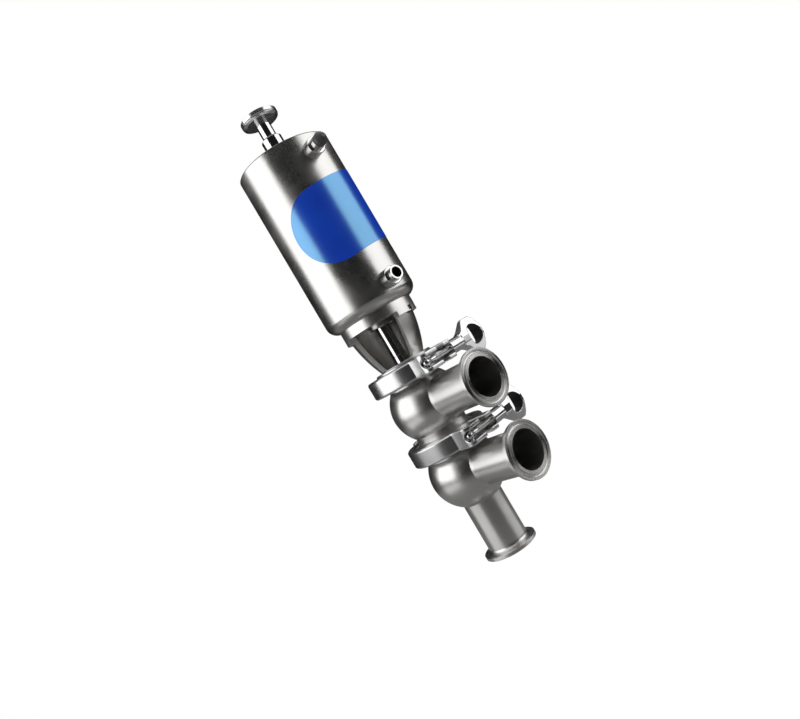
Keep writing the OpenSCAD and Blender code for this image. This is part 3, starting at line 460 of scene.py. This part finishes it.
def pale_floor():
    """White floor far below the valve, which hangs in the air as in the photograph."""
    bpy.ops.mesh.primitive_plane_add(size=12, location=(0, 0, FLOOR_Z))
    floor = bpy.context.object
    floor.name = "floor"
    made, tree, surface = bare_material("pale_floor")
    diffuse = node(tree, "ShaderNodeBsdfDiffuse", {"Color": (0.80, 0.80, 0.80, 1)}).outputs[0]
    glow = node(tree, "ShaderNodeEmission", {"Color": (1, 1, 1, 1), "Strength": 1.03}).outputs[0]
    mix = node(tree, "ShaderNodeMixShader", {"Fac": white_share(tree, 0.97), 1: diffuse, 2: glow})
    tree.links.new(mix.outputs[0], surface)
    floor.data.materials.append(made)


def softbox(name, turn, height, width, tall, level):
    """Area lamp that faces the valve's axis; level is the brightness its face shows in a mirror."""
    data = bpy.data.lights.new(name, "AREA")
    data.shape = "RECTANGLE"
    data.size, data.size_y = width, tall
    data.energy = level * math.pi * width * tall
    lamp = bpy.data.objects.new(name, data)
    angle = math.radians(CAMERA_TURN + turn)
    lamp.location = (SOFTBOX_REACH * math.cos(angle), SOFTBOX_REACH * math.sin(angle), height)
    inward = Vector((-math.cos(angle), -math.sin(angle), 0))
    lamp.rotation_euler = inward.to_track_quat("-Z", "Y").to_euler()
    lamp.visible_camera = False
    bpy.context.scene.collection.objects.link(lamp)


def mirror_card(name, profile, tone, first=0, last=360):
    """Studio card that only the steel mirrors: (reach, height) points swept round the valve's axis."""
    steps = 48
    turns = [math.radians(CAMERA_TURN + first + (last - first) * i / steps) for i in range(steps + 1)]
    verts = [(reach * math.cos(t), reach * math.sin(t), height) for t in turns for reach, height in profile]
    card = mesh_piece(name, verts, sheet_faces(steps, len(profile) - 1))
    made, tree, surface = bare_material(name)
    glow = node(tree, "ShaderNodeEmission", {"Color": (tone, tone, tone, 1)})
    tree.links.new(glow.outputs["Emission"], surface)
    card.data.materials.append(made)
    card.visible_camera = False
    card.visible_diffuse = False
    card.visible_shadow = False
    card.visible_transmission = False


def studio():
    """White surroundings, two softboxes, and cards for what the steel mirrors."""
    world_light()
    pale_floor()
    softbox("left_softbox", -68, 0.57, 1.10, 1.00, 2.10)
    softbox("right_softbox", 81, 0.625, 0.92, 0.91, 1.75)
    ground = FLOOR_Z + 0.01
    mirror_card("dark_walls", [(WALL_REACH, WALL_LOW_Z), (WALL_REACH, WALL_HIGH_Z)], 0.012)
    mirror_card("grey_ground", [(0.02, ground), (WALL_REACH, ground), (WALL_REACH, WALL_LOW_Z)], 0.22)
    mirror_card("left_glow", [(GLOW_REACH, -0.50), (GLOW_REACH, -0.14)], 1.00, -99, -37)
    mirror_card("right_glow", [(GLOW_REACH, -0.42), (GLOW_REACH, -0.20)], 1.00, 54, 112)


def camera():
    """Level camera that leans to one side."""
    turn = math.radians(CAMERA_TURN)
    lean = math.radians(CAMERA_LEAN)
    outward = Vector((math.cos(turn), math.sin(turn), 0))
    up = Vector((0, 0, 1))
    right = (-outward).cross(up)
    data = bpy.data.cameras.new("camera")
    data.sensor_width = SENSOR
    data.lens = CAMERA_LENS
    data.clip_start = 0.01
    made = bpy.data.objects.new("camera", data)
    tilted_up = up * math.cos(lean) + right * math.sin(lean)
    tilted_right = right * math.cos(lean) - up * math.sin(lean)
    place = outward * CAMERA_REACH + up * CAMERA_HEIGHT + right * CAMERA_ASIDE
    axes = Matrix((tilted_right, tilted_up, outward)).transposed().to_4x4()
    made.matrix_world = Matrix.Translation(place) @ axes
    bpy.context.scene.collection.objects.link(made)
    bpy.context.scene.camera = made


bpy.context.scene.view_settings.view_transform = "Standard"
camera()
studio()
dress_cad_nodes()
port_steel = turned_face(steel("turned_port", BODY_STEEL, 0.32), "X", (1, 0, 0))
for side in ("lower", "upper"):
    dress(NODES[f"{side}_side_tube"], port_steel)
smooth_turning("yoke", 25)
# Painted shade: the cylinder's colour darkens over the last 1.4 mm below its top edge
painted_shade_rim(FINISHES["cylinder_steel"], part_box("actuator_cylinder")[1].z, 1.4 * MM, 0.25)
dress(NODES["knob"], steel("brushed_knob", POLISHED_STEEL, 0.24, cloud=0.04, grain=0.1))
wrapped_label()
shortening_spring()
for clamp in ("upper", "lower"):
    threaded_bolt(clamp)
    eye = Vector(JOINTS[f"{clamp}_nut_spin"]["pos_m"]) + Vector((0, EYE_ALONG, 0))
    nut_steel = steel(f"{clamp}_nut", POLISHED_STEEL, 0.18, cloud=0.04, grain=0.06)
    # Painted shade in each nut's eye, with rougher cast steel on the eye's wall
    dress(NODES[f"{clamp}_wing_nut"], shaded_cast_eye(nut_steel, eye, EYE_RADIUS))
    cast_edges(f"{clamp}_wing_nut", 0.4, 6)
    cast_edges(f"{clamp}_fixed_half", 0.45, 4)
    cast_edges(f"{clamp}_moving_half", 0.45, 4)
